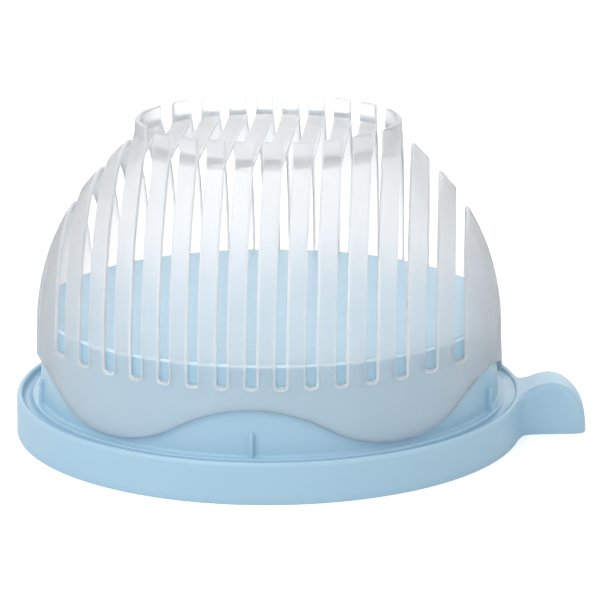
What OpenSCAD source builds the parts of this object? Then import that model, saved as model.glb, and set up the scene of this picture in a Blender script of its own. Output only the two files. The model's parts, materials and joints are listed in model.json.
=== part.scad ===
// Salad cutter: a slotted bowl turned over on a round chopping base.
// Two mouldings. The bowl seats on the edge of the base's raised board and lifts off.
// Millimetres, +Z up, standing on z = 0, thumb tab towards +X, slots along Y.

/* [Base tray] */
// Diameter of the tray at the table
tray_d = 195; // [180:1:215]
// Height of the crest of the tray's rounded lip
tray_h = 15.4; // [14:0.2:20]
// Width of the rounded lip
lip_w = 2.3; // [1.8:0.1:2.6]
// Width of the drip groove inside the lip
groove_w = 3.7; // [2:0.1:4.2]
// Depth of the drip groove below the lip's crest
groove_depth = 3.2; // [2.8:0.2:7]
// Draft of the tray's outer wall, in degrees
tray_draft = 1.0; // [0:0.1:1.4]
// Wall thickness of the base moulding
base_wall = 2.2; // [1.8:0.1:2.6]

/* [Chopping board] */
// Diameter of the raised board at its top edge
board_d = 173.6; // [166:0.2:174.4]
// Height of the board's top face
board_h = 48.3; // [42:0.5:60]
// Draft of the wall under the board, in degrees
board_draft = 2.3; // [0.5:0.1:2.4]
// Radius of the board's rounded edge
board_edge_r = 1.2; // [0.6:0.1:2]
// Height of the ledge at the foot of the board's wall
ledge_h = 14.7; // [13.4:0.1:15]

/* [Stop ribs] */
// Width of one stop rib
rib_w = 1.8; // [1:0.1:3]
// Height of a rib above the ledge
rib_h = 9; // [5:0.5:11]
// How far a rib stands out of the wall at its foot
rib_proud = 1.7; // [1:0.1:2.2]

/* [Thumb tab] */
// Reach of the tab beyond the tray
tab_reach = 24.5; // [18:0.5:34]
// Height of the tab's hump
tab_h = 20.2; // [18.5:0.1:26]
// Radius of the hump, seen from the side
tab_hump_r = 14.1; // [11:0.1:16]
// Half width of the tab under the top of its hump
tab_half_w = 9.3; // [7:0.1:14]
// Taper of each side of the tab, in degrees
tab_taper = 7.7; // [0:0.1:10]
// Radius where the tab's sides run into the tray
tab_root_r = 6; // [3:0.5:9]
// Radius of the tab's top edges
tab_edge_r = 2.6; // [1.5:0.1:3.5]

/* [Bowl] */
// Wall thickness of the bowl
bowl_wall = 1.5; // [1.2:0.1:2]
// Gap between the bowl and the edge of the board that it seats on
seat_gap = 0.3; // [0.2:0.05:0.5]
// Draft of the bowl's plain band, in degrees
band_draft = 2.46; // [2.3:0.02:3]
// Distance from the board's top face down to the top of the plain band
band_below_board = 4.3; // [3:0.1:7]
// Radius of the bowl's curved side
side_r = 84.85; // [75:0.5:100]
// Slope of the shoulder, as the angle of its face from upright, in degrees
shoulder_angle = 43.7; // [38:0.1:50]

/* [Foot ring] */
// Diameter of the foot ring that the bowl stands on when it is upright
foot_d = 100.8; // [80:0.5:112]
// Width of the foot ring's edge
foot_w = 2.5; // [1.8:0.1:4]
// Height of the foot ring above the shoulder
foot_rise = 5.4; // [4:0.1:9]
// Depth of the recessed floor inside the foot ring
foot_recess = 7.7; // [5.5:0.1:9]
// Thickness of the bowl's floor
floor_t = 1.7; // [1.2:0.1:2.5]
// Radius of the fillet round the outside of the foot ring
foot_fillet_r = 2.8; // [1:0.1:3.5]

/* [Knife slots] */
// Number of slots
slot_count = 15; // [7:2:15]
// Distance from slot to slot
slot_pitch = 10.4; // [9:0.1:10.9]
// Width of a slot
slot_w = 3.5; // [2:0.1:4]
// Depth of the slots' lower ends below the board's top face
slot_below_board = 9; // [5:0.5:10]
// Radius of the corners at a slot's ends
slot_corner_r = 1.3; // [0.5:0.1:1.7]

/* [Wavy rim] */
// Number of waves round the rim, and of stop ribs under them
wave_count = 5; // [3:1:7]
// Height of the lowest points of the rim above the ledge
rim_above_ledge = 2; // [1:0.1:4]
// Height of a wave from its lowest point to its highest
wave_h = 15.1; // [12.5:0.1:17]

/* [Hidden] */
$fn = 96;
eps = 0.01;
over = 2;                      // how far a cutter runs past what it cuts

tray_r = tray_d / 2;
board_r = board_d / 2;
lip_r = lip_w / 2;
foot_r = foot_d / 2;

// Tray section
lip_mid_z = tray_h - lip_r;
lip_out_r = tray_r - lip_mid_z * tan(tray_draft);
lip_mid_r = lip_out_r - lip_r;
groove_out_r = lip_out_r - lip_w;
groove_in_r = groove_out_r - groove_w;
groove_mid_r = groove_out_r - groove_w / 2;
groove_floor_z = tray_h - groove_depth;
ledge_edge_r = 0.6;
wall_foot_r = board_r + (board_h - board_edge_r - ledge_h) * tan(board_draft);
pan_under_z = groove_floor_z - base_wall;
ledge_under_z = ledge_h - base_wall * 1.25;

// Tab: measured from the base's axis
tab_end = tray_r + tab_reach;
hump_x = tab_end - tab_hump_r;
hump_z = tab_h - tab_hump_r;
saddle_z = tray_h + 0.8;       // lowest point of the hollow between lip and hump
saddle_x = tray_r - 1.8;
// Radius of the hollow: its circle touches the hump's circle
saddle_dx = hump_x - saddle_x;
saddle_dz = saddle_z - hump_z;
saddle_r = (saddle_dx * saddle_dx + saddle_dz * saddle_dz - tab_hump_r * tab_hump_r)
         / (2 * (tab_hump_r - saddle_dz));
blend_x = saddle_x + saddle_dx * saddle_r / (saddle_r + tab_hump_r);

// Where the base's axis lies: the origin is under the middle of the whole footprint
axis_x = -tab_reach / 2;

// Bowl section: the side's arc is placed so that the inner face clears the board's edge
seat_z = board_h - board_edge_r;
band_top_z = board_h - band_below_board;
arc_z = band_top_z - side_r * sin(band_draft);
arc_in_r = side_r - bowl_wall;
arc_x = board_r + seat_gap * 1.15
      - sqrt(arc_in_r * arc_in_r - (seat_z - arc_z) * (seat_z - arc_z));
lap = 0.06;                     // how far the side's arc stands proud where it takes over
rim_low_z = ledge_h + rim_above_ledge;
rim_high_z = rim_low_z + wave_h;

// Points of the section at depth d inside the bowl's outer face
function knee(d) = [arc_x + (side_r - d) * cos(band_draft), arc_z + (side_r - d) * sin(band_draft)];
function shoulder(d) = [arc_x + (side_r - d) * cos(shoulder_angle),
                        arc_z + (side_r - d) * sin(shoulder_angle)];
function band_r(d, z) = knee(d)[0] - lap + (knee(d)[1] - z) * tan(band_draft);
function cone_z(d, r) = shoulder(d)[1] + (shoulder(d)[0] - lap - r) / tan(shoulder_angle);
function cone_r(d, z) = shoulder(d)[0] - lap - (z - shoulder(d)[1]) * tan(shoulder_angle);

foot_top_z = cone_z(0, foot_r) + foot_rise;
floor_top_z = foot_top_z - foot_recess;
floor_under_z = floor_top_z - floor_t;
foot_edge_r = 0.6;
inner_corner_r = 4;
fillet_c = [foot_r + foot_fillet_r,
            shoulder(0)[1] + (foot_fillet_r - (foot_r + foot_fillet_r - shoulder(0)[0] + lap)
            * cos(shoulder_angle)) / sin(shoulder_angle)];
fillet_t = fillet_c - foot_fillet_r * [cos(shoulder_angle), sin(shoulder_angle)];

// Slots and waves
slot_low_z = board_h - slot_below_board;
rim_r = band_r(bowl_wall / 2, rim_low_z);
wave_span = rim_r * sin(180 / wave_count);
wave_turn = 2 * atan(wave_h / wave_span);
wave_mid = rim_r * sin(90 / wave_count);
crest_r = wave_mid / sin(wave_turn);
hollow_r = (wave_span - wave_mid) / sin(wave_turn);
wave_mid_z = rim_high_z - crest_r * (1 - cos(wave_turn));

// Base ---------------------------------------------------------------

// Half section of the tray, the board and the wall between them
module base_section() {
    // outer wall and its full round lip
    polygon([[tray_r - base_wall, 0], [tray_r, 0], [lip_out_r, lip_mid_z],
             [groove_out_r, lip_mid_z], [groove_out_r, pan_under_z],
             [tray_r - base_wall, pan_under_z]]);
    translate([lip_mid_r, lip_mid_z]) circle(r = lip_r);
    // drip groove with a round floor
    difference() {
        translate([groove_in_r - base_wall, pan_under_z])
            square([groove_w + base_wall + lip_w * 0.8, base_wall + groove_w / 2]);
        translate([groove_mid_r, groove_floor_z + groove_w / 2]) circle(r = groove_w / 2);
        translate([groove_in_r, groove_floor_z + groove_w / 2])
            square([groove_w, groove_w]);
    }
    // ledge at the foot of the board's wall
    polygon([[groove_in_r - base_wall, pan_under_z], [groove_in_r, pan_under_z],
             [groove_in_r, ledge_h - ledge_edge_r], [groove_in_r - ledge_edge_r, ledge_h],
             [wall_foot_r - base_wall, ledge_h], [wall_foot_r - base_wall, ledge_under_z],
             [groove_in_r - base_wall, ledge_under_z]]);
    translate([groove_in_r - ledge_edge_r, ledge_h - ledge_edge_r]) circle(r = ledge_edge_r);
    // wall under the board, drawn in towards the top
    polygon([[wall_foot_r - base_wall, ledge_under_z], [wall_foot_r, ledge_under_z],
             [wall_foot_r, ledge_h], [board_r, seat_z],
             [board_r - board_edge_r, seat_z + eps], [board_r - base_wall, seat_z]]);
    translate([board_r - board_edge_r, seat_z]) circle(r = board_edge_r);
    // board
    translate([0, board_h - base_wall * 1.1])
        square([board_r - board_edge_r, base_wall * 1.1]);
}

// Half width of the tab at a distance x from the base's axis, s inside its outer face
function tab_side(x, s) =
    let (line = tab_half_w - (x - hump_x) * tan(tab_taper) - s,
         end = tab_end - s, c = tab_edge_r,
         past = max(0, x - (end - c)),
         root = max(0, tray_r - 0.5 + tab_root_r - x))
    line - (c - sqrt(max(0, c * c - past * past)))
    + (s > 0 ? 0 : tab_root_r - sqrt(max(0, tab_root_r * tab_root_r
                                          - min(root, tab_root_r) * min(root, tab_root_r))));

// Height of the tab's top at x, s inside: a hump that runs into the lip by a hollow
function tab_top(x, s) =
    x < saddle_x ? saddle_z - s :
    x < blend_x ? saddle_z + saddle_r - s
        - sqrt((saddle_r) * (saddle_r) - (x - saddle_x) * (x - saddle_x)) :
    hump_z + sqrt(max(0, (tab_hump_r - s) * (tab_hump_r - s)
                       - pow(min(x - hump_x, tab_hump_r - s), 2)));

// One cross section of the tab, a wall with rounded top edges
tab_arc = 5;
function tab_ring(x, s) =
    let (w = tab_side(x, s), t = tab_top(x, s),
         low = s > 0 ? -over : 0,
         grow = max(0, min(1, (hump_x - x) / (hump_x - tray_r))),
         c = min(w * 0.8, (tab_edge_r - (s > 0 ? 1.2 : 0)) * (1 + 1.2 * grow), t * 0.4))
    concat([[x, -w, low]],
           [for (i = [0:tab_arc]) let (a = 90 * i / tab_arc)
               [x, -w + c - c * cos(a), t - c + c * sin(a)]],
           [for (i = [tab_arc:-1:0]) let (a = 90 * i / tab_arc)
               [x, w - c + c * cos(a), t - c + c * sin(a)]],
           [[x, w, low]]);

// Body lofted through the tab's cross sections, closer together towards its rounded end
tab_steps = 22;
module tab_loft(s, x0) {
    x1 = tab_end - s;
    n = 2 * (tab_arc + 1) + 2;
    rings = [for (k = [0:tab_steps]) tab_ring(x0 + (x1 - x0) * sin(90 * k / tab_steps), s)];
    points = [for (ring = rings) each ring];
    faces = concat([[for (i = [n - 1:-1:0]) i]],
        [[for (i = [0:n - 1]) tab_steps * n + i]],
        [for (k = [0:tab_steps - 1]) for (i = [0:n - 1]) let (j = (i + 1) % n)
            each [[k * n + i, (k + 1) * n + j, (k + 1) * n + i],
                  [k * n + i, k * n + j, (k + 1) * n + j]]]);
    polyhedron(points = points, faces = faces, convexity = 6);
}

// Stop rib at the foot of the board's wall, half round
module stop_rib() {
    out = wall_foot_r + rib_proud - rib_w / 2;
    translate([0, -out, ledge_h - base_wall / 2]) cylinder(d = rib_w, h = rib_h + base_wall / 2);
    translate([-rib_w / 2, -out, ledge_h - base_wall / 2])
        cube([rib_w, out - board_r + base_wall / 2, rib_h + base_wall / 2]);
}

module base() {
    color([0.66, 0.80, 0.88]) translate([axis_x, 0, 0]) difference() {
        union() {
            rotate_extrude() base_section();
            for (i = [0:wave_count - 1]) rotate([0, 0, i * 360 / wave_count]) stop_rib();
            tab_loft(0, tray_r - base_wall + 0.2);
        }
        tab_loft(base_wall, tray_r + 0.6);
    }
}

// Bowl ---------------------------------------------------------------

// Filled half section of the bowl to depth d inside its outer face, up to the height top
module bowl_form(d, low, top) {
    k = knee(d);
    e = shoulder(d);
    polygon([[0, low], [band_r(d, low), low], [band_r(d, k[1]), k[1]], [0, k[1]]]);
    intersection() {
        translate([arc_x, arc_z]) circle(r = side_r - d, $fn = 192);
        translate([0, k[1] - 3 * over]) square([side_r * 2, e[1] - k[1] + 5 * over]);
    }
    polygon([[0, e[1]], [cone_r(d, e[1]), e[1]], [cone_r(d, top), top], [0, top]]);
}

// Half section of the bowl's wall, floor and foot ring
module bowl_section() {
    out = cone_z(0, foot_r);
    corner_z = floor_under_z - inner_corner_r;
    corner_x = shoulder(bowl_wall)[0] - lap + (-inner_corner_r
             - (corner_z - shoulder(bowl_wall)[1]) * sin(shoulder_angle)) / cos(shoulder_angle);
    corner_t = [corner_x, corner_z] + inner_corner_r * [cos(shoulder_angle), sin(shoulder_angle)];
    difference() {
        union() {
            bowl_form(0, rim_low_z - over, out);
            // foot ring with rounded edges
            translate([0, out - eps]) square([foot_r, foot_rise - foot_edge_r + eps]);
            translate([0, out]) square([foot_r - foot_edge_r, foot_rise]);
            translate([foot_r - foot_edge_r, foot_top_z - foot_edge_r]) circle(r = foot_edge_r);
        }
        // inside of the bowl
        bowl_form(bowl_wall, rim_low_z - 2 * over, corner_t[1]);
        polygon([[0, corner_t[1] - eps], corner_t, [corner_x, corner_z],
                 [corner_x, floor_under_z], [0, floor_under_z]]);
        translate([corner_x, corner_z]) circle(r = inner_corner_r);
        // recess inside the foot ring
        translate([0, floor_top_z]) square([foot_r - foot_w, foot_recess + over]);
    }
}

// Fillet between the foot ring and the shoulder
module foot_fillet() {
    root = foot_r - bowl_wall / 2;
    difference() {
        polygon([[root, fillet_c[1]], fillet_c, fillet_t, fillet_t - [0.3, 0.5],
                 [root, fillet_t[1]]]);
        translate(fillet_c) circle(r = foot_fillet_r);
    }
}

// What is cut away under one wave: a crest arc between two hollow arcs
module wave_cut() {
    low = rim_low_z - 2 * over;
    rotate([90, 0, 0]) linear_extrude(height = rim_r + 3 * over) {
        intersection() {
            translate([0, rim_high_z - crest_r]) circle(r = crest_r, $fn = 180);
            translate([-wave_mid, wave_mid_z - eps]) square([2 * wave_mid, wave_h]);
        }
        translate([-wave_mid - eps, low])
            square([2 * (wave_mid + eps), wave_mid_z - low]);
        for (m = [0, 1]) mirror([m, 0]) difference() {
            translate([wave_mid, low])
                square([wave_span - wave_mid + over, wave_mid_z - low]);
            translate([wave_span, rim_low_z + hollow_r]) circle(r = hollow_r, $fn = 180);
            translate([wave_span, rim_low_z]) square([over * 2, wave_h]);
        }
    }
}

// One knife slot, open through the top, with rounded corners at its lower ends
module slot_cut() {
    long = 4 * board_r;
    tall = foot_top_z + over - slot_low_z;
    translate([-slot_w / 2, -long / 2, slot_low_z + slot_corner_r])
        cube([slot_w, long, tall - slot_corner_r]);
    translate([-slot_w / 2 + slot_corner_r, -long / 2, slot_low_z])
        cube([slot_w - 2 * slot_corner_r, long, tall]);
    for (s = [-1, 1]) translate([s * (slot_w / 2 - slot_corner_r), long / 2,
                                 slot_low_z + slot_corner_r])
        rotate([90, 0, 0]) cylinder(r = slot_corner_r, h = long, $fn = 24);
}

module bowl() {
    color([0.87, 0.90, 0.95]) translate([axis_x, 0, 0]) difference() {
        union() {
            rotate_extrude() bowl_section();
            rotate_extrude() foot_fillet();
        }
        for (i = [0:wave_count - 1]) rotate([0, 0, i * 360 / wave_count]) wave_cut();
        for (i = [0:slot_count - 1])
            translate([(i - (slot_count - 1) / 2) * slot_pitch, 0, 0]) slot_cut();
    }
}

base();
bowl();
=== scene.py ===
"""Salad cutter: a slotted bowl that stands upside down on a chopping base with a grip tab.

All sizes are millimetres about the axis that the bowl and the board share. The meshes are made in
metres, with that axis at its place in the part's frame.
"""
import json
import logging
import math
from dataclasses import dataclass, field
from enum import Enum

import bmesh
import bpy
import numpy as np
from mathutils import Euler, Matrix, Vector

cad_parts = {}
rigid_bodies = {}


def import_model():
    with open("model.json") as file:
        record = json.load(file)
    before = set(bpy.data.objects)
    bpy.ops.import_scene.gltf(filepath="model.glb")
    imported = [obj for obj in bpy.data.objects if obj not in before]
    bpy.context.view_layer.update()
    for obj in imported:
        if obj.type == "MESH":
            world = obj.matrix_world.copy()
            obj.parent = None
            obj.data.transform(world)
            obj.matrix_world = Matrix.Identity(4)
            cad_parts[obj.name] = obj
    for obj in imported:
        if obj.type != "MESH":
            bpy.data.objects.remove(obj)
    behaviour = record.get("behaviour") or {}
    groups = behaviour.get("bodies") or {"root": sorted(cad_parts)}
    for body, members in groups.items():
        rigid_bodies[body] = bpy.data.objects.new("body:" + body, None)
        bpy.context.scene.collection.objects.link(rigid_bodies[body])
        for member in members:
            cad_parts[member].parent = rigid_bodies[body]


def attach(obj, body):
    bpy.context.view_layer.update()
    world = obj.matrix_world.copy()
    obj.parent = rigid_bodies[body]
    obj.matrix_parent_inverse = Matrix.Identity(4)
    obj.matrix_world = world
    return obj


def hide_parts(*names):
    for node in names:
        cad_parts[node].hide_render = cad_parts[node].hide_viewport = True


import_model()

log = logging.getLogger("salad_cutter")

MM = 0.001
AXIS_X = -12.25
FULL_TURN = 2.0 * math.pi
SHARP_TURN = math.radians(42)
WELD = 1e-6
SAME_POINT = 1e-4
TINY = 1e-9
NUDGE = 1e-6
WHITE = (1.0, 1.0, 1.0, 1.0)
Point = tuple[float, float]
Colour = tuple[float, float, float]
Face = tuple[int, ...]
Socket = bpy.types.NodeSocket


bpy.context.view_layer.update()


# Curves and sections ------------------------------------------------------------------------


class Side(Enum):
    """Which of a wall's two faces is meant, with the way its normals point."""

    OUTER = 1
    INNER = -1


def line(a: Point, b: Point, steps: int) -> list[tuple]:
    """Returns points along a straight run, each with the normal on its right hand.

    Args:
        a: Start of the run.
        b: End of the run.
        steps: How many equal steps it takes.

    Returns:
        Rows of the point's two places and the normal's two parts.
    """
    dr, dz = b[0] - a[0], b[1] - a[1]
    size = math.hypot(dr, dz)
    return [(a[0] + dr * i / steps, a[1] + dz * i / steps, dz / size, -dr / size)
            for i in range(steps + 1)]


def arc(centre: tuple, radius: float, start: float, end: float, steps: int, first: int = 1,
        way: int = 1) -> list[tuple]:
    """Returns points along an arc, each with its direction from the centre.

    Args:
        centre: Middle of the arc, as two numbers or arrays.
        radius: Radius of the arc.
        start: Direction of its start from the centre, in degrees.
        end: Direction of its end from the centre.
        steps: How many steps it takes.
        first: The first step that counts: 0 to have the start too.
        way: 1, or -1 for the direction to the centre.

    Returns:
        Rows of the point's two places and its direction's two parts.
    """
    turns = [math.radians(start + (end - start) * i / steps) for i in range(first, steps + 1)]
    return [(centre[0] + radius * math.cos(a), centre[1] + radius * math.sin(a),
             way * math.cos(a), way * math.sin(a)) for a in turns]


def without_repeats(rows: list[tuple]) -> list[tuple]:
    """Returns the rows, less those at the same point as the row before.

    Args:
        rows: Rows that start with a point's two places.

    Returns:
        The rows that are left.
    """
    kept = rows[:1]
    for row in rows[1:]:
        if math.hypot(row[0] - kept[-1][0], row[1] - kept[-1][1]) > SAME_POINT:
            kept.append(row)
    return kept


def smooth_step(a: float, b: float, x: np.ndarray | float) -> np.ndarray:
    """Returns 0 below a, 1 above b and a smooth rise between them."""
    t = np.clip((np.asarray(x, float) - a) / (b - a), 0.0, 1.0)
    return t * t * (3.0 - 2.0 * t)


def unit(v: np.ndarray) -> np.ndarray:
    """Returns vectors, one a row, at full length."""
    return v / np.maximum(np.linalg.norm(v, axis=1, keepdims=True), TINY)


def spline(points: tuple[Point, ...], steps: int) -> np.ndarray:
    """Returns a smooth curve through points.

    Args:
        points: The points that it passes through.
        steps: How many steps each span takes.

    Returns:
        The curve's points.
    """
    p = np.array([points[0], *points, points[-1]], float)
    out = []
    for a, b, c, d in zip(p, p[1:], p[2:], p[3:]):
        for t in np.linspace(0.0, 1.0, steps, endpoint=False):
            out.append(0.5 * (2 * b + (c - a) * t + (2 * a - 5 * b + 4 * c - d) * t * t
                              + (3 * b - a - 3 * c + d) * t ** 3))
    return np.array([*out, p[-1]])


def resample(curve: np.ndarray, spacing: float) -> np.ndarray:
    """Returns a curve again with its points at equal distances.

    Args:
        curve: The curve's points.
        spacing: About how far apart the new ones are.

    Returns:
        The new points.
    """
    run = np.concatenate([[0.0], np.cumsum(np.linalg.norm(np.diff(curve, axis=0), axis=1))])
    at = np.linspace(0.0, run[-1], max(2, int(round(run[-1] / spacing)) + 1))
    return np.stack([np.interp(at, run, column) for column in curve.T], axis=1)


# Meshes -------------------------------------------------------------------------------------


def ring_faces(rings: list, closed: bool = False) -> list[Face]:
    """Returns the faces between closed rings of points.

    Args:
        rings: The numbers of each ring's points, in the same order on every ring.
        closed: Whether the last ring joins the first one.

    Returns:
        The faces, ring by ring.
    """
    faces = []
    for low, high in zip(rings, rings[1:] + rings[:1] if closed else rings[1:]):
        for i in range(len(low)):
            j = (i + 1) % len(low)
            faces.append((low[i], low[j], high[j], high[i]))
    return faces


def point_rings(rows: int, count: int) -> list[range]:
    """Returns the numbers of the points of each ring, for rings of one size in a row."""
    return [range(k * count, (k + 1) * count) for k in range(rows)]


def link_mesh(mesh: bpy.types.Mesh) -> bpy.types.Object:
    """Returns a mesh as an object of its name, linked to the scene.

    Args:
        mesh: The mesh.

    Returns:
        The object, at the origin.
    """
    made = bpy.data.objects.new(mesh.name, mesh)
    bpy.context.scene.collection.objects.link(made)
    return made


def face_outwards(mesh: bpy.types.Mesh, weld: bool = False) -> None:
    """Turns a mesh's faces outwards and makes them smooth.

    Args:
        mesh: The mesh.
        weld: Whether its doubled points are merged first.
    """
    work = bmesh.new()
    work.from_mesh(mesh)
    if weld:
        bmesh.ops.remove_doubles(work, verts=work.verts, dist=WELD)
        bmesh.ops.dissolve_degenerate(work, edges=work.edges, dist=WELD)
    bmesh.ops.recalc_face_normals(work, faces=work.faces)
    work.to_mesh(mesh)
    work.free()
    mesh.shade_smooth()


def make_object(name: str, verts: np.ndarray, faces: list[Face],
                normals: np.ndarray | None = None) -> bpy.types.Object:
    """Makes a mesh object from points in millimetres about the axis.

    Args:
        name: Name of the object and its mesh.
        verts: The points.
        faces: Point numbers of each face.
        normals: The surface's own normal at each point, or None for plain smooth shading.

    Returns:
        The linked object, at the origin, with its faces outwards.
    """
    mesh = bpy.data.meshes.new(name)
    mesh.from_pydata(((np.asarray(verts, float) + [AXIS_X, 0.0, 0.0]) * MM).tolist(), [], faces)
    face_outwards(mesh)
    if normals is None:
        mesh.set_sharp_from_angle(angle=SHARP_TURN)
    else:
        mesh.normals_split_custom_set_from_vertices(unit(normals).tolist())
    mesh.update()
    return link_mesh(mesh)


def applied_mesh(piece: bpy.types.Object, name: str) -> bpy.types.Mesh:
    """Returns a piece's mesh with its modifiers applied, and removes them.

    Args:
        piece: The piece.
        name: Name of the new mesh.

    Returns:
        The new mesh, with no object of its own.
    """
    evaluated = piece.evaluated_get(bpy.context.evaluated_depsgraph_get())
    mesh = bpy.data.meshes.new_from_object(evaluated)
    mesh.name = name
    piece.modifiers.clear()
    return mesh


# Node trees ---------------------------------------------------------------------------------


@dataclass
class NodeKit:
    """A node tree under construction, for a shape or for a finish."""

    tree: bpy.types.NodeTree

    def feed(self, slot: Socket, value: object) -> None:
        """Links a socket to a slot, or sets the slot to a plain value.

        Args:
            slot: The input that is fed.
            value: A socket or a plain value.
        """
        if isinstance(value, bpy.types.NodeSocket):
            self.tree.links.new(value, slot)
        else:
            slot.default_value = value

    def node(self, kind: str, inputs: dict | None = None, **settings: object) -> bpy.types.Node:
        """Adds a node.

        Args:
            kind: Kind of the node.
            inputs: What feeds its inputs, by their names or numbers.
            settings: Its settings.

        Returns:
            The node.
        """
        made = self.tree.nodes.new(kind)
        for key, value in settings.items():
            setattr(made, key, value)
        for key, value in (inputs or {}).items():
            self.feed(made.inputs[key], value)
        return made

    def math(self, operation: str, *values: Socket | float) -> Socket:
        """Adds a math node on sockets or numbers and returns its result."""
        return self.node("ShaderNodeMath", dict(enumerate(values)), operation=operation).outputs[0]

    def noise(self, place: Socket, scale: Socket | float, detail: float,
              distortion: float = 0.0) -> Socket:
        """Adds a noise texture.

        Args:
            place: Where it is read.
            scale: How fine it is.
            detail: How many finer layers it has.
            distortion: How far it is bent.

        Returns:
            Its value.
        """
        return self.node("ShaderNodeTexNoise", {"Vector": place, "Scale": scale, "Detail": detail,
                                                "Distortion": distortion}).outputs["Fac"]

    def blend(self, share: Socket, a: Socket | tuple, b: Socket | tuple) -> Socket:
        """Adds a mix of two colours and returns its result."""
        return self.node("ShaderNodeMix", {"Factor": share, "A": a, "B": b},
                         data_type="RGBA").outputs["Result"]


class ShapeTree(NodeKit):
    """A geometry node tree, with named inputs for its sizes, the axis and the finish."""

    def __init__(self, name: str, sizes: dict[str, str]) -> None:
        """Makes the tree with its inputs and its output.

        Args:
            name: Name of the tree.
            sizes: Name and socket kind of each size.
        """
        super().__init__(bpy.data.node_groups.new(name, "GeometryNodeTree"))
        face = self.tree.interface
        face.new_socket(name="Geometry", in_out="OUTPUT", socket_type="NodeSocketGeometry")
        kinds = {"Geometry": "NodeSocketGeometry", "Axis X": "NodeSocketFloat",
                 "Finish": "NodeSocketMaterial", **sizes}
        self.ids = {key: face.new_socket(name=key, in_out="INPUT", socket_type=kind).identifier
                    for key, kind in kinds.items()}
        self.start = self.node("NodeGroupInput").outputs

    def at_axis(self) -> Socket:
        """Adds and returns the axis's place."""
        return self.node("ShaderNodeCombineXYZ", {"X": self.start["Axis X"]}).outputs[0]

    def close(self, made: Socket) -> None:
        """Ends the tree: its instances are realized and the finish is set.

        Args:
            made: The shape that it makes.
        """
        real = self.node("GeometryNodeRealizeInstances", {"Geometry": made})
        paint = self.node("GeometryNodeSetMaterial", {"Geometry": real.outputs[0],
                                                      "Material": self.start["Finish"]})
        self.node("NodeGroupOutput", {0: paint.outputs[0]})

    def bake(self, rough: bpy.types.Mesh, name: str, finish: bpy.types.Material,
             **sizes: float) -> bpy.types.Object:
        """Runs the tree on a mesh and returns the result as a plain mesh object.

        Args:
            rough: Mesh that goes in.
            name: Name of the object that is made.
            finish: Its finish.
            sizes: Value of each size, with _ for the spaces in its name.

        Returns:
            The new object, at the origin, with no modifier.
        """
        base = link_mesh(rough)
        modifier = base.modifiers.new(self.tree.name, "NODES")
        modifier.node_group = self.tree
        for key, value in {"Axis X": AXIS_X * MM, "Finish": finish, **sizes}.items():
            modifier[self.ids[key.replace("_", " ")]] = value
        mesh = applied_mesh(base, name)
        bpy.data.objects.remove(base)
        face_outwards(mesh, weld=True)
        mesh.set_sharp_from_angle(angle=SHARP_TURN)
        return link_mesh(mesh)


def turned_tree() -> ShapeTree:
    """Makes the tree that turns a half section, given as a row of points, about its axis.

    Returns:
        The tree, whose sizes are the count of rows and of steps round the axis.
    """
    t = ShapeTree("turned_section", {"Rows": "NodeSocketInt", "Steps": "NodeSocketInt"})
    rows, steps = t.start["Rows"], t.start["Steps"]
    grid = t.node("GeometryNodeMeshGrid", {"Vertices X": t.math("ADD", steps, 1.0),
                                           "Vertices Y": rows})
    index = t.node("GeometryNodeInputIndex").outputs[0]
    column = t.math("FLOOR", t.math("DIVIDE", index, rows))
    pick = t.node("GeometryNodeSampleIndex", {
        "Geometry": t.start["Geometry"], "Index": t.math("MODULO", index, rows),
        "Value": t.node("GeometryNodeInputPosition").outputs[0],
    }, data_type="FLOAT_VECTOR", domain="POINT")
    turned = t.node("ShaderNodeVectorRotate", {
        "Vector": pick.outputs["Value"],
        "Angle": t.math("MULTIPLY", t.math("DIVIDE", column, steps), FULL_TURN),
    }, rotation_type="Z_AXIS")
    moved = t.node("ShaderNodeVectorMath", {0: turned.outputs[0], 1: t.at_axis()}, operation="ADD")
    put = t.node("GeometryNodeSetPosition", {"Geometry": grid.outputs["Mesh"],
                                             "Position": moved.outputs[0]})
    weld = t.node("GeometryNodeMergeByDistance", {"Geometry": put.outputs[0], "Distance": WELD})
    t.close(weld.outputs[0])
    return t


def ring_tree() -> ShapeTree:
    """Makes the tree that repeats a piece at equal angles about an axis.

    Returns:
        The tree, whose sizes are the count of copies and the first one's angle.
    """
    t = ShapeTree("ring_of_copies", {"Count": "NodeSocketInt", "Start Angle": "NodeSocketFloat"})
    row = t.node("GeometryNodeMeshLine", {
        "Count": t.start["Count"], "Offset": (0.0, 0.0, 0.0), "Start Location": t.at_axis(),
    }, mode="OFFSET")
    share = t.math("DIVIDE", t.node("GeometryNodeInputIndex").outputs[0], t.start["Count"])
    angle = t.math("ADD", t.math("MULTIPLY", share, FULL_TURN), t.start["Start Angle"])
    turn = t.node("FunctionNodeEulerToRotation", {
        0: t.node("ShaderNodeCombineXYZ", {"Z": angle}).outputs[0]})
    copies = t.node("GeometryNodeInstanceOnPoints", {
        "Points": row.outputs["Mesh"], "Instance": t.start["Geometry"],
        "Rotation": turn.outputs[0]})
    t.close(copies.outputs[0])
    return t


# Finishes -----------------------------------------------------------------------------------


def shade_group(name: str, inputs: dict[str, float], outputs: tuple[str, ...]) -> NodeKit:
    """Starts a shader node group of plain numbers.

    Args:
        name: Name of the group.
        inputs: Name and default of each number that goes in.
        outputs: Name of each number that comes out.

    Returns:
        The group, with no nodes yet.
    """
    group = bpy.data.node_groups.new(name, "ShaderNodeTree")
    for way, keys in (("INPUT", inputs), ("OUTPUT", outputs)):
        for key in keys:
            made = group.interface.new_socket(name=key, in_out=way, socket_type="NodeSocketFloat")
            if key in inputs:
                made.default_value = inputs[key]
    return NodeKit(group)


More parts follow.
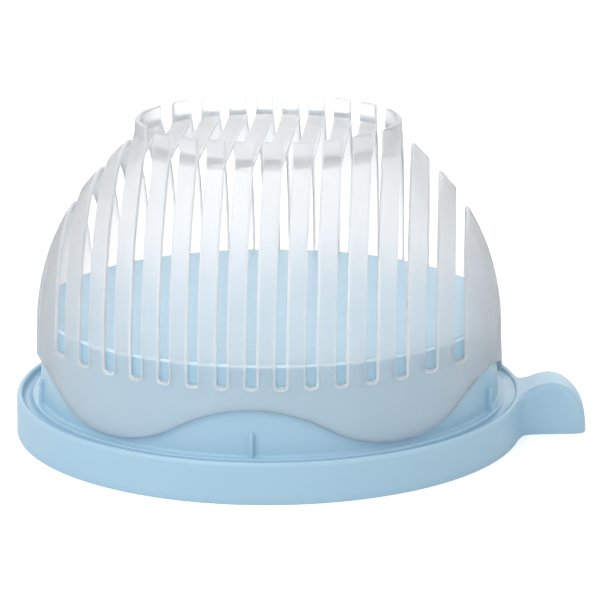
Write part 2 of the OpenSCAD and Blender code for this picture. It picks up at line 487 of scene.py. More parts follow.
def moulded_skin() -> bpy.types.NodeTree:
    """Makes the group for a moulded plastic surface: its fine grain, flow cloud and handling marks.

    Returns:
        The group, which puts out a cloud, a roughness and a height.
    """
    g = shade_group("moulded_skin", {"Grain Scale": 900.0, "Cloud Scale": 22.0, "Rough Low": 0.24,
                                     "Rough High": 0.36}, ("Cloud", "Roughness", "Height"))
    size = g.node("NodeGroupInput").outputs
    place = g.node("ShaderNodeTexCoord").outputs["Object"]
    stretched = g.node("ShaderNodeMapping", {"Vector": place, "Scale": (0.25, 1.0, 0.6),
                                             "Rotation": (0.3, 0.2, 0.7)}).outputs[0]
    marks = g.noise(stretched, 160.0, 6.0)
    rough = g.node("ShaderNodeMapRange", {
        "Value": marks, "From Min": 0.35, "From Max": 0.75, "To Min": size["Rough Low"],
        "To Max": size["Rough High"]})
    grain = g.noise(place, size["Grain Scale"], 4.0)
    g.node("NodeGroupOutput", {"Cloud": g.noise(place, size["Cloud Scale"], 3.0, 0.6),
                               "Roughness": rough.outputs[0],
                               "Height": g.math("MULTIPLY_ADD", marks, 0.25, grain)})
    return g.tree


def knife_cuts_and_painted_highlight() -> bpy.types.NodeTree:
    """Makes the group for the board: fine knife cuts along the slots, and a painted highlight, a pale
    band along its rounded top edge.

    Returns:
        The group, which puts out a mask of the cuts and one of the painted highlight on the edge.
    """
    g = shade_group("knife_cuts_and_painted_highlight", {"From Height": 0.047, "Edge Radius": 0.0861,
                                    "Painted Highlight Width": 0.0005}, ("Mask", "Edge"))
    size = g.node("NodeGroupInput").outputs
    place = g.node("ShaderNodeTexCoord").outputs["Object"]
    squeezed = g.node("ShaderNodeMapping", {"Vector": place, "Scale": (1.0, 0.03, 1.0)})
    cuts = g.node("ShaderNodeMapRange", {"Value": g.noise(squeezed.outputs[0], 420.0, 2.0),
                                         "From Min": 0.60, "From Max": 0.68})
    height = g.node("ShaderNodeSeparateXYZ", {0: place}).outputs["Z"]
    on_top = g.math("GREATER_THAN", height, size["From Height"])
    centred = g.node("ShaderNodeMapping", {"Vector": place, "Location": (-AXIS_X * MM, 0.0, 0.0),
                                           "Scale": (1.0, 1.0, 0.0)}).outputs[0]
    radius = g.node("ShaderNodeVectorMath", {0: centred}, operation="LENGTH").outputs["Value"]
    # Painted highlight: a pale band on top, just outside the edge radius, stands in for the lamps'
    # highlight on the board's rounded edge.
    painted_highlight_band = g.node("ShaderNodeMapRange", {"Value": g.math("SUBTRACT", radius, size["Edge Radius"]),
                                           "From Max": size["Painted Highlight Width"]})
    g.node("NodeGroupOutput", {"Mask": g.math("MULTIPLY", cuts.outputs[0], on_top),
                               "Edge": g.math("MULTIPLY", painted_highlight_band.outputs[0], on_top)})
    return g.tree


@dataclass(frozen=True)
class Finish:
    """A moulded plastic finish."""

    name: str
    slot: str
    light: Colour
    dark: Colour
    rough: tuple[float, float]
    transmission: float = 0.0
    lamp_share: float = 0.0
    scatter: float = 0.0
    scatter_reach: float = 0.006
    ior: float = 1.49
    coat: float = 0.0
    grain: float = 900.0
    bump: float = 0.00006
    bump_strength: float = 0.35
    # knife cuts go into the bump, the painted edge highlight into the colour
    marked: bool = False
    cut_depth: float = 1.6
    # colour of the painted highlight on the board's rounded top edge
    painted_highlight_colour: Colour = (0.66, 0.83, 0.93)

    def material(self, skin: bpy.types.NodeTree, marks: bpy.types.NodeTree) -> bpy.types.Material:
        """Returns the finish as a material.

        Args:
            skin: The shared group for a moulded surface.
            marks: The shared group for knife cuts and the painted edge highlight.

        Returns:
            The material, with its shader in the material itself.
        """
        made = bpy.data.materials.new(self.name)
        made.use_nodes = True
        t = NodeKit(made.node_tree)
        shader = t.tree.nodes["Principled BSDF"]
        surface = t.node("ShaderNodeGroup", {
            "Grain Scale": self.grain, "Rough Low": self.rough[0], "Rough High": self.rough[1],
        }, node_tree=skin).outputs
        colour = t.blend(surface["Cloud"], (*self.dark, 1.0), (*self.light, 1.0))
        height = surface["Height"]
        if self.marked:
            knife_and_painted_light = t.node("ShaderNodeGroup", node_tree=marks).outputs
            height = t.math("MULTIPLY_ADD", knife_and_painted_light["Mask"], -self.cut_depth, height)
            # painted highlight: the board's rounded top edge is lightened in colour
            colour = t.blend(knife_and_painted_light["Edge"], colour, (*self.painted_highlight_colour, 1.0))
        bump = t.node("ShaderNodeBump", {"Strength": self.bump_strength, "Distance": self.bump,
                                         "Height": height})
        for key, value in {
            "Base Color": colour, "Roughness": surface["Roughness"],
            "Normal": bump.outputs["Normal"], "IOR": self.ior,
            "Transmission Weight": self.transmission, "Subsurface Weight": self.scatter,
            "Subsurface Radius": (self.scatter_reach,) * 3, "Subsurface Scale": 1.0,
            "Coat Weight": self.coat,
        }.items():
            t.feed(shader.inputs[key], value)
        if self.lamp_share:
            self.let_lamps_through(t, shader)
        return made

    def let_lamps_through(self, t: NodeKit, shader: bpy.types.Node) -> None:
        """Lets a share of the lamps' light through a clear wall, to what is behind it.

        Args:
            t: The material's nodes.
            shader: The wall's own shader.
        """
        lamp_ray = t.node("ShaderNodeLightPath").outputs["Is Shadow Ray"]
        open_wall = t.node("ShaderNodeBsdfTransparent", {"Color": (*self.light, 1.0)})
        mixed = t.node("ShaderNodeMixShader", {0: t.math("MULTIPLY", lamp_ray, self.lamp_share),
                                               1: shader.outputs[0], 2: open_wall.outputs[0]})
        t.feed(t.tree.nodes["Material Output"].inputs["Surface"], mixed.outputs[0])


MILKY_CLEAR = Finish("milky_clear_plastic", "bowl_plastic", (0.99, 0.985, 0.985), (0.97, 0.97, 0.98),
                     (0.36, 0.44), transmission=0.88, lamp_share=0.5, scatter=1.0, ior=1.36)
MILKY_EDGE = Finish("milky_cut_edge", "bowl_plastic", (0.98, 0.975, 0.975), (0.95, 0.955, 0.96),
                    (0.30, 0.38), transmission=0.45, lamp_share=0.5, scatter=1.0)
# Painted shade: a dark grey-blue on the rim's downward faces stands in for the dark line of shade where
# the rim meets the board's wall.
RIM_PAINTED_SHADE = Finish("rim_painted_shade", "bowl_plastic", (0.46, 0.55, 0.62), (0.42, 0.51, 0.59),
                   (0.30, 0.38), transmission=0.45, lamp_share=0.3)
PALE_BLUE = Finish("pale_blue_plastic", "base_plastic", (0.40, 0.605, 0.745), (0.38, 0.585, 0.73),
                   (0.30, 0.40), coat=0.05, marked=True)


# The bowl -----------------------------------------------------------------------------------


class Cut(Enum):
    """What a face of the bowl is part of, as the number of its material."""

    NONE = 0
    SLOT = 1
    # the rim's downward faces, which take the painted shade
    RIM = 2


@dataclass
class Bowl:
    """The slotted bowl, upside down: a waved rim below and a flat foot ring on top."""

    board_r: float = 86.8
    seat_z: float = 47.1
    wall: float = 1.5
    seat_gap: float = 0.3
    seat_slant: float = 1.15
    band_draft: float = 2.46
    side_r: float = 84.85
    band_top_z: float = 44.0
    shoulder_angle: float = 43.7
    lap: float = 0.06
    foot_r: float = 50.4
    foot_w: float = 2.5
    foot_rise: float = 5.4
    foot_recess: float = 7.7
    foot_edge: float = 0.8
    floor_t: float = 1.7
    fillet: float = 2.8
    inner_corner: float = 4.0
    slot_count: int = 15
    slot_pitch: float = 10.4
    slot_half: float = 1.75
    slot_corner: float = 1.3
    slot_low: tuple[float, float] = (39.7, 40.35)  # on the outer and the inner face
    slot_tilt: float = 43.0
    edge_out: float = 1.0
    edge_ring: float = 0.55
    edge_in: float = 0.25
    edge_gap: float = 0.14
    waves: int = 5
    rim_low_z: float = 16.7
    rim_round: tuple[float, float] = (0.62, 0.5)  # on the outer and the inner face
    rim_facing: float = -0.2  # the rim's faces point down by more than this
    wave_h: float = 15.1
    columns: int = 288
    edge_steps: int = 5
    band_rows: int = 7
    arc_rows: int = 24
    arc_clear: tuple[float, float] = (0.6, 1.0)  # degrees left free at its lower and upper end
    slope_from: tuple[float, float] = (63.8, 62.6)  # on the outer and the inner face
    # heights of the rows about the slots' lower ends
    close_rows: tuple[float, ...] = (36.0, 37.2, 38.0, 38.7, 39.4, 40.1, 40.8, 41.6, 42.6, 43.6)

    def __post_init__(self) -> None:
        """Works out the section's own points and the slots' places."""
        self.slope = math.tan(math.radians(self.band_draft))
        self.tilt = math.radians(self.shoulder_angle)
        self.arc_z = self.band_top_z - self.side_r * math.sin(math.radians(self.band_draft))
        inside = self.side_r - self.wall
        self.arc_x = (self.board_r + self.seat_gap * self.seat_slant
                      - math.sqrt(inside ** 2 - (self.seat_z - self.arc_z) ** 2))
        self.rim_r = self.band_at(self.wall / 2, self.rim_low_z)
        self.foot_top = self.cone_z(0.0, self.foot_r) + self.foot_rise
        self.floor_top = self.foot_top - self.foot_recess
        self.slot_x = (np.arange(self.slot_count) - (self.slot_count - 1) / 2) * self.slot_pitch

    def on_arc(self, depth: float, angle: float) -> Point:
        """Returns the point of the side's arc at an angle, at a depth inside the outer face."""
        a, r = math.radians(angle), self.side_r - depth
        return self.arc_x + r * math.cos(a), self.arc_z + r * math.sin(a)

    def band_at(self, depth: float, z: np.ndarray | float) -> np.ndarray | float:
        """Returns the plain band's radius at a height, at a depth inside the outer face."""
        r, top = self.on_arc(depth, self.band_draft)
        return r - self.lap + (top - z) * self.slope

    def cone_z(self, depth: float, r: float) -> float:
        """Returns the shoulder's height at a radius, at a depth inside the outer face."""
        x, z = self.on_arc(depth, self.shoulder_angle)
        return z + (x - self.lap - r) / math.tan(self.tilt)

    def rim_height(self, turn: np.ndarray) -> np.ndarray:
        """Returns the rim's height, from arcs that meet in a wave.

        Args:
            turn: Angles about the axis.

        Returns:
            The height at each angle.
        """
        step = FULL_TURN / self.waves
        off = (turn + math.pi / 2 + step / 2) % step - step / 2
        x = np.abs(self.rim_r * np.sin(off))
        span = self.rim_r * math.sin(math.pi / self.waves)
        mid = self.rim_r * math.sin(math.pi / 2 / self.waves)
        bend = 2 * math.atan(self.wave_h / span)
        crest, hollow = mid / math.sin(bend), (span - mid) / math.sin(bend)
        top = self.rim_low_z + self.wave_h
        up = top - crest + np.sqrt(np.maximum(crest ** 2 - x ** 2, 0.0))
        down = self.rim_low_z + hollow - np.sqrt(np.maximum(hollow ** 2 - (span - x) ** 2, 0.0))
        return np.where(x < mid, up, down)

    def side_section(self, side: Side) -> list[tuple]:
        """Draws the section from the plain band's upper part to the axis.

        Args:
            side: Which face of the wall.

        Returns:
            Rows of r, z, the normal's two parts and the edge radius.
        """
        outer = side is Side.OUTER
        d, full, ring = ((0.0, self.edge_out, self.edge_ring) if outer
                         else (self.wall, self.edge_in, self.edge_in))
        tall = math.hypot(1.0, self.slope)
        rows = [(self.band_at(d, z), z, 1.0 / tall, self.slope / tall, full)
                for z in self.close_rows]
        knee = math.degrees(math.asin((self.band_top_z - self.arc_z) / self.side_r))
        rows += [(*row, full) for row in arc(
            (self.arc_x, self.arc_z), self.side_r - d, knee + self.arc_clear[0],
            self.shoulder_angle - self.arc_clear[1], self.arc_rows)]
        shoulder, *runs = self.foot_runs() if outer else self.floor_runs()
        last = len(shoulder) - 1
        rows += [(*row, full + (ring - full) * i / last) for i, row in enumerate(shoulder)]
        rows += [(*row, ring) for run in runs for row in run]
        return [(r, z, side.value * nr, side.value * nz, edge)
                for r, z, nr, nz, edge in without_repeats(rows)]

    def shoulder_run(self, depth: float, start: float, end: float, steps: int) -> list[tuple]:
        """Returns the shoulder's rows from one radius to another, at a depth inside the outer face."""
        return line((start, self.cone_z(depth, start)), (end, self.cone_z(depth, end)), steps)

    def foot_runs(self) -> list[list[tuple]]:
        """Draws the outer face over the shoulder, the foot ring and the recessed floor.

        Returns:
            The rows of each straight run and each rounding.
        """
        x, z = self.on_arc(0.0, self.shoulder_angle)
        c, n = math.cos(self.tilt), math.sin(self.tilt)
        foot, e, top, floor = self.foot_r, self.foot_edge, self.foot_top, self.floor_top
        fx, inner = foot + self.fillet, foot - self.foot_w
        fz = z + (self.fillet - (fx - (x - self.lap)) * c) / n
        return [self.shoulder_run(0.0, self.slope_from[0], fx - self.fillet * c, 6),
                arc((fx, fz), self.fillet, 180.0 + self.shoulder_angle, 180.0, 4, way=-1),
                line((foot, fz), (foot, top - e), 1),
                arc((foot - e, top - e), e, 0.0, 90.0, 4),
                line((foot - e, top), (inner + e, top), 1),
                arc((inner + e, top - e), e, 90.0, 180.0, 4),
                line((inner, top - e), (inner, floor + e), 2),
                arc((inner - e, floor + e), e, 0.0, -90.0, 3, way=-1),
                line((inner - e, floor), (0.0, floor), 14)]

    def floor_runs(self) -> list[list[tuple]]:
        """Draws the inner face over the shoulder and under the floor.

        Returns:
            The rows of each straight run and each rounding.
        """
        x, z = self.on_arc(self.wall, self.shoulder_angle)
        c, n, corner = math.cos(self.tilt), math.sin(self.tilt), self.inner_corner
        under = self.floor_top - self.floor_t
        cz = under - corner
        cx = x - self.lap + (-corner - (cz - z) * n) / c
        return [self.shoulder_run(self.wall, self.slope_from[1], cx + corner * c, 5),
                arc((cx, cz), corner, self.shoulder_angle, 90.0, 4),
                line((cx, under), (0.0, under), 15)]

    def grid(self, side: Side) -> np.ndarray:
        """Returns one face of the wall as a grid of rows by columns.

        Args:
            side: Which face. The outer one starts with the rim's rounded lower edge.

        Returns:
            For each grid point its place, its normal and its edge radius.
        """
        turn = np.arange(self.columns) * FULL_TURN / self.columns
        low, first = self.rim_height(turn), self.close_rows[0]
        outer = side is Side.OUTER
        d, edge = (0.0, self.edge_out) if outer else (self.wall, self.edge_in)
        round_out, round_in = self.rim_round
        rows: list[tuple] = []
        if outer:
            for radius, depth, way, start, steps in ((round_in, self.wall, 1, 180, 3),
                                                     (round_out, 0.0, -1, -90, 4)):
                centre = self.band_at(depth, low + radius) + way * radius, low + radius
                rows += [(*row, edge) for row in arc(centre, radius, start, start + 90, steps, 0)]
        start = low + (round_out if outer else round_in)
        size = math.hypot(1.0, self.slope)
        for i in range(1 if outer else 0, self.band_rows):
            z = start + (first - start) * i / self.band_rows
            rows.append((self.band_at(d, z), z, side.value / size, side.value * self.slope / size,
                         edge))
        rows += self.side_section(side)
        made = np.array([np.broadcast_arrays(*row, turn)[:5] for row in rows])
        r, z, nr, nz, edges = made.transpose(1, 0, 2)
        c, s = np.cos(turn), np.sin(turn)
        return np.stack([r * c, r * s, z, nr * c, nr * s, nz, edges], axis=-1)

    def nearest_slot(self, x: np.ndarray) -> np.ndarray:
        """Returns the number of the slot nearest to each x."""
        k = np.round(x / self.slot_pitch + (self.slot_count - 1) / 2)
        return np.clip(k, 0, self.slot_count - 1).astype(int)

    def slot_gap(self, p: np.ndarray, side: Side) -> tuple[np.ndarray, np.ndarray]:
        """Returns how far points lie from the nearest slot's outline, and the way out of it.

        Args:
            p: The points.
            side: Which face's outline, because the slots' lower ends slope.

        Returns:
            The distance, below zero in the slot, and its gradient as x and z.
        """
        off = p[..., 0] - self.slot_x[self.nearest_slot(p[..., 0])]
        low = self.slot_low[0 if side is Side.OUTER else 1]
        qx = np.abs(off) - (self.slot_half - self.slot_corner)
        qz = (low + self.slot_corner) - p[..., 2]
        px, pz = np.maximum(qx, 0.0), np.maximum(qz, 0.0)
        reach = np.hypot(px, pz)
        gap = reach + np.minimum(np.maximum(qx, qz), 0.0) - self.slot_corner
        inside = (qx <= 0) & (qz <= 0)
        gx = np.where(inside, (qx > qz) * 1.0, px / np.maximum(reach, TINY))
        gz = np.where(inside, (qx <= qz) * 1.0, pz / np.maximum(reach, TINY))
        return gap, np.stack([gx * np.sign(off), -gz], axis=-1)

    def ball(self, s: np.ndarray) -> tuple[np.ndarray, np.ndarray]:
        """Returns the ball that would round a slot's edge at each point of a face.

        Its radius is smaller where a slot meets the wall at a slant.

        Args:
            s: Places, normals and edge radii on the face.

        Returns:
            The ball's middle and its radius.
        """
        n = s[..., 3:6]
        slant = np.abs(n[..., 0])
        level = np.sqrt(np.maximum(1.0 - slant ** 2, 0.0))
        room = (self.wall - self.edge_in * (1.0 - slant) - self.edge_gap * level) / (1.0 + slant)
        radius = np.minimum(s[..., 6], room)
        return s[..., :3] - radius[..., None] * n, radius

    def margin(self, s: np.ndarray, side: Side) -> np.ndarray:
        """Returns how far the points of a face lie outside the slots' rounded edges."""
        centre, radius = self.ball(s)
        return self.slot_gap(centre, side)[0] - radius

    def build(self) -> bpy.types.Object:
        """Builds the bowl.

        Returns:
            The bowl as one closed mesh, with the faces of its slots and its rim marked.
        """
        work = ShellMesh(self)
        loops_out, first = work.add_face(Side.OUTER, None)
        loops_in, _ = work.add_face(Side.INNER, first)
        for k, x in enumerate(self.slot_x):
            work.join_slot(x, loops_out[k], loops_in[k])
        rows = np.array(work.rows)
        shell = make_object("bowl_shell", rows[:, :3], work.faces, rows[:, 3:6])
        faces = shell.data.polygons
        facing, middle = np.zeros(len(faces) * 3), np.zeros(len(faces) * 3)
        faces.foreach_get("normal", facing)
        faces.foreach_get("center", middle)
        # the rim's downward faces get the painted shade
        rim = (facing[2::3] < self.rim_facing) & (middle[2::3] < self.slot_low[0] * MM)
        cut = np.where(rim, Cut.RIM.value, Cut.NONE.value).astype(np.int32)
        for first, last in work.cut_from:
            cut[first:last] = Cut.SLOT.value
        shell.data.attributes.new("cut_side", "INT", "FACE").data.foreach_set("value", cut)
        return shell


@dataclass
class ShellMesh:
    """The growing mesh of the bowl: two cut faces of the wall and what joins them in the slots."""

    bowl: Bowl
    rows: list[list[float]] = field(default_factory=list)
    faces: list[Face] = field(default_factory=list)
    cut_from: list[tuple[int, int]] = field(default_factory=list)
    halvings: int = 22
    inner_steps: int = 2
    end_rise: float = 3.0
    split_rise: float = 5.0

    def put(self, s: np.ndarray) -> list[int]:
        """Adds points, given as places, normals and edge radii, and returns their numbers."""
        self.rows.extend(s.tolist())
        return list(range(len(self.rows) - len(s), len(self.rows)))

    def at(self, ids: list[int] | np.ndarray) -> np.ndarray:
        """Returns the places, normals and edge radii of points, by their numbers."""
        return np.array([self.rows[i] for i in ids])

    def add_face(self, side: Side, shared: list[int] | None) -> tuple[dict[int, np.ndarray], list[int]]:
        """Adds one face of the wall with the slots cut out of it.

        Args:
            side: Which face.
            shared: Numbers of the points that stand for its first row, or None for new ones.

        Returns:
            For each slot its edge's points, as numbers in order, and the first row's numbers.
        """
        grid = self.bowl.grid(side)
        keep = self.bowl.margin(grid, side) >= 0
        number, todo = np.full(keep.shape, -1), keep.copy()
        if shared is not None:
            number[0], todo[0] = shared, False
        number[todo] = self.put(grid[todo])
        across = self.crossings(grid, np.roll(grid, -1, 1), keep, np.roll(keep, -1, 1), side)
        along = self.crossings(grid[:-1], grid[1:], keep[:-1], keep[1:], side)
        follow: dict[int, int] = {}
        for i, j in np.ndindex(len(keep) - 1, keep.shape[1]):
            k = (j + 1) % keep.shape[1]
            corners = ((i, j), (i, k), (i + 1, k), (i + 1, j))
            cuts = (across.get((i, j)), along.get((i, k)), across.get((i + 1, j)), along.get((i, j)))
            kept = [keep[c] for c in corners]
            after = kept[1:] + kept[:1]
            ring: list[int] = []
            for q in range(4):
                if kept[q]:
                    ring.append(int(number[corners[q]]))
                if kept[q] != after[q]:
                    ring.append(cuts[q])
                if kept[q] and not after[q]:
                    follow[cuts[q]] = next(cuts[m % 4] for m in range(q + 1, q + 4)
                                           if after[m % 4] and not kept[m % 4])
            if len(ring) > 2:
                self.faces.append(tuple(ring))
        loops: dict[int, np.ndarray] = {}
        while follow:
            start, here = follow.popitem()
            loop = [start]
            while here != start:
                loop.append(here)
                here = follow.pop(here)
            middle = self.at(loop)[:, 0].mean()
            loops[int(self.bowl.nearest_slot(middle))] = self.round_edge(loop, side)
        return loops, [int(v) for v in number[0]]

    def crossings(self, one: np.ndarray, two: np.ndarray, keep_one: np.ndarray,
                  keep_two: np.ndarray, side: Side) -> dict[tuple[int, int], int]:
        """Adds the points where the grid's lines run into a slot's edge.

        Args:
            one: The grid's points where its lines start.
            two: The points where they end.
            keep_one: Which of the first are outside the slots.
            keep_two: Which of the second are.
            side: Which face of the wall.

        Returns:
            The new point's number for the row and column where each line starts.
        """
        at = np.argwhere(keep_one != keep_two)
        ix = at[:, 0], at[:, 1]
        a, b, flip = one[ix], two[ix], ~keep_one[ix]
        low, high = np.zeros(len(at)), np.ones(len(at))
        for _ in range(self.halvings):
            mid = (low + high) / 2
            outside = (self.bowl.margin(self.between(a, b, mid), side) >= 0) ^ flip
            low, high = np.where(outside, mid, low), np.where(outside, high, mid)
        ids = self.put(self.between(a, b, (low + high) / 2))
        return {(int(i), int(j)): v for (i, j), v in zip(at, ids)}

    @staticmethod
    def between(a: np.ndarray, b: np.ndarray, t: np.ndarray) -> np.ndarray:
        """Returns points of a face at shares of the way between others.

        Args:
            a: Places, normals and edge radii at the start.
            b: The same at the end.
            t: The shares.

        Returns:
            The same on the way, with normals of full length.
        """
        made = a * (1 - t[:, None]) + b * t[:, None]
        made[:, 3:6] = unit(made[:, 3:6])
        return made

    def round_edge(self, loop: list[int], side: Side) -> list[int]:
        """Rolls the rounded edge over from one face of the wall to a slot's own side.

        Args:
            loop: Numbers of the edge's points on the face, in order.
            side: Which face.

        Returns:
            Numbers of the rounded edge's last points, on the slot's side, in order.
        """
        s = self.at(loop)
        n = s[:, 3:6]
        centre, radius = self.bowl.ball(s)
        grad = self.bowl.slot_gap(centre, side)[1]
        to = np.stack([-grad[:, 0], np.zeros(len(s)), -grad[:, 1]], axis=1)
        lift = math.tan(math.radians(self.bowl.slot_tilt)) * np.clip(to[:, 2:], 0.0, 1.0)
        to = unit(to + unit(n * [side.value, side.value, 0.0]) * lift)
        swing = np.arccos(np.clip((n * to).sum(axis=1, keepdims=True), -1.0, 1.0))
        steps = self.bowl.edge_steps if side is Side.OUTER else self.inner_steps
        rings = [loop]
        for t in (i / steps for i in range(1, steps + 1)):
            way = (np.sin((1 - t) * swing) * n + np.sin(t * swing) * to) / np.sin(swing)
            rings.append(self.put(np.hstack([centre + radius[:, None] * way, way, s[:, 6:]])))
        self.add_cut(ring_faces(rings))
        return rings[-1]

    def add_cut(self, faces: list[Face]) -> None:
        """Adds faces that belong to a slot, and notes which they are."""
        self.cut_from.append((len(self.faces), len(self.faces) + len(faces)))
        self.faces += faces

    def join_slot(self, x: float, outer: list[int], inner: list[int]) -> None:
        """Adds the sides of one slot.

        Args:
            x: Place of the slot's middle.
            outer: Numbers of its outer edge's points.
            inner: Numbers of its inner edge's points.
        """
        a, b = self.quarters(outer, x), self.quarters(inner, x)
        for part in range(4):
            self.add_cut([(*a[part], *reversed(b[part]))] if part % 2
                         else self.zip_ends(a[part], b[part]))

    def quarters(self, loop: list[int], x: float) -> list[list[int]]:
        """Splits a slot's edge into its front end, one side, its back end and the other side.

        Args:
            loop: Numbers of the edge's points, in order.
            x: Place of the slot's middle.

        Returns:
            The four parts, each as numbers in order.
        """
        p = self.at(loop)
        low = self.bowl.slot_low[0]
        front = np.where((p[:, 1] < 0) & (p[:, 2] < low + self.end_rise))[0]
        start = front[np.abs(p[front, 0] - x).argmin()]
        ids, p = np.roll(loop, -start), np.roll(p, -start, axis=0)
        if p[len(p) // 4, 0] < x:
            ids, p = np.roll(ids[::-1], 1), np.roll(p[::-1], 1, axis=0)
        high = p[:, 2] > low + self.split_rise
        up1, down1, up2, down2 = (i for i in range(len(p)) if high[i] != high[i - 1])
        ids = ids.tolist()
        return [ids[down2 - 1:] + ids[:up1 + 1], ids[up1:down1], ids[down1 - 1:up2 + 1],
                ids[up2:down2]]

    def zip_ends(self, one: list[int], two: list[int]) -> list[Face]:
        """Joins two runs of points with triangles, always by the shorter diagonal.

        Args:
            one: Numbers of the first run's points.
            two: Numbers of the second run's points.

        Returns:
            The triangles.
        """
        p, q = self.at(one)[:, :3], self.at(two)[:, :3]
        faces: list[Face] = []
        i = j = 0
        while i < len(one) - 1 or j < len(two) - 1:
            go_one = math.inf if i == len(one) - 1 else math.dist(p[i + 1], q[j])
            go_two = math.inf if j == len(two) - 1 else math.dist(p[i], q[j + 1])
            if go_one <= go_two:
                faces.append((one[i], one[i + 1], two[j]))
                i += 1
            else:
                faces.append((one[i], two[j + 1], two[j]))
                j += 1
        return faces


# The base -----------------------------------------------------------------------------------


@dataclass
class Base:
    """The chopping base: the raised board, the tray with its groove and lip, the ribs and the tab."""

    tray_r: float = 97.5
    tray_h: float = 15.4
    tray_foot: float = 0.35
    foot_bevel: float = 0.1
    foot_inner: float = 0.3
    wall: float = 2.2
    lip_r: float = 1.15
    lip_stretch: float = 1.7
    lip_steps: int = 30
    draft: float = 1.0
    groove_w: float = 3.7
    groove_floor: float = 12.2
    groove_fade: float = 0.85
    fade_turn: tuple[float, float] = (7.0, 22.0)  # degrees from the tab's middle
    groove_reach: tuple[float, float] = (0.5, 0.1)  # inwards and below, what counts as groove
    overlap: float = 0.05  # of the board's and the tray's halves at the groove's middle
    overlap_rise: float = 0.0007  # of the groove's floor over that overlap
    board_r: float = 86.8
    board_h: float = 48.3
    board_edge: float = 1.2
    top_rows: tuple[float, ...] = (0.0, 18.0, 36.0, 54.0, 70.0, 80.0)  # radii on the board's top
    wall_rows: tuple[float, ...] = (0.05, 0.25, 0.5, 0.75, 0.97)  # shares of the way down its wall
    under_rows: tuple[float, ...] = (70.0, 45.0, 20.0, 0.0)  # radii under it
    edge_gap: tuple[float, float] = (0.4, 0.3)  # from the board's and the ledge's edge to a row
    wall_foot_r: float = 88.1013
    ledge_h: float = 14.7
    ledge_edge: float = 0.6
    ledge_fillet: float = 0.62  # from the wall's foot out to the middle of the fillet there
    under_bevel: float = 0.4
    under_step: float = 0.03
    under_round: float = 0.5
    pan_round: float = 1.0
    top_round: float = 1.5
    ledge_wall: float = 1.25  # as a share of the wall
    top_wall: float = 1.1
    rib_w: float = 1.8
    rib_h: float = 9.0
    rib_proud: float = 1.7
    rib_root: tuple[float, float] = (0.6, 0.8)  # how deep they stand in the wall and the ledge
    rib_crown: tuple[float, ...] = (25, 50, 70, 84)  # degrees up the rounded top
    ribs: int = 5
    tab_end: float = 122.0
    tab_wall: float = 2.2
    tab_edge: float = 2.5
    tab_blend: tuple[float, float] = (9.0, 19.0)  # across, where the tab turns into the lip
    tab_nose: tuple[float, float] = (111.0, 119.0)  # along, where the ridge bends with the end
    tab_root: tuple[float, float] = (96.5, 101.0)  # along, where the edges get their full radius
    tab_side_from: float = 99.5
    tab_lowest: float = 0.7
    side_lean: float = 6.0
    hollow_from: float = 0.6
    hollow_half: tuple[float, float] = (1.5, 8.6)
    hollow_crown: float = 1.6
    hollow_ahead: tuple[float, float] = (0.4, 0.9)  # of the wall, for its width and its roof
    hollow_z: tuple[float, float] = (-1.0, 1.0)  # the cutter's floor and its lowest roof
    hollow_grid: tuple[int, int] = (14, 11)  # points along and across
    steps: int = 192
    plan_turn: float = 1.9
    curve_steps: int = 10
    curve_spacing: float = 0.8

    def __post_init__(self) -> None:
        """Works out the lip's and the groove's own radii and the tab's curves."""
        self.lip_z = self.tray_h - self.lip_r
        self.lip_out = self.tray_r - self.lip_z * math.tan(math.radians(self.draft))
        self.lip_mid = self.lip_out - self.lip_r
        self.groove_out = self.lip_out - 2 * self.lip_r
        self.groove_in = self.groove_out - self.groove_w
        self.groove_mid = self.groove_out - self.groove_w / 2
        self.pan_under = self.groove_floor - self.wall
        e = self.tab_end
        self.ridge = spline((
            (self.lip_mid - 2, 15.9), (self.lip_mid, 16.0), (97.6, 16.4), (100.0, 17.5),
            (102.9, 19.0), (105.9, 19.9), (108.2, 20.2), (110.6, 19.9), (113.0, 19.0),
            (115.3, 17.7), (117.2, 16.0), (118.7, 14.1), (120.3, 11.1), (121.3, 7.8),
            (e - 0.1, 4.0), (e, 0.9), (e + 0.01, 0.0)), self.curve_steps)
        self.outline = resample(spline((
            (94.35, 24.6), (95.53, 19.5), (96.75, 15.2), (98.1, 12.3), (100.1, 10.75),
            (103.6, 10.15), (112.0, 9.1), (117.6, 8.35), (119.9, 7.75), (121.2, 6.7),
            (121.8, 5.0), (e, 2.6), (e, 0.0)), self.curve_steps), self.curve_spacing)

    def fade_groove(self, piece: bpy.types.Object) -> bpy.types.Object:
        """Raises the groove's floor beside the tab, where it runs out.

        Args:
            piece: A piece that has a part of the groove.

        Returns:
            The same piece.
        """
        p = np.zeros(len(piece.data.vertices) * 3)
        piece.data.vertices.foreach_get("co", p)
        p = p.reshape(-1, 3) / MM
        x, y, z = p[:, 0] - AXIS_X, p[:, 1], p[:, 2]
        r = np.hypot(x, y)
        inwards, below = self.groove_reach
        low, high, slack = self.groove_floor - below, self.ledge_h, self.overlap
        wet = (r > self.groove_in - inwards) & (r < self.groove_out + slack) & (z > low) & (z < high)
        turn = np.degrees(np.abs(np.arctan2(y, x)))
        share = self.groove_fade * (1.0 - smooth_step(*self.fade_turn, turn)) * wet
        p[:, 2] = z + (high - z) * share
        piece.data.vertices.foreach_set("co", (p * MM).ravel())
        piece.data.update()
        return piece

    # The board, turned from its half section

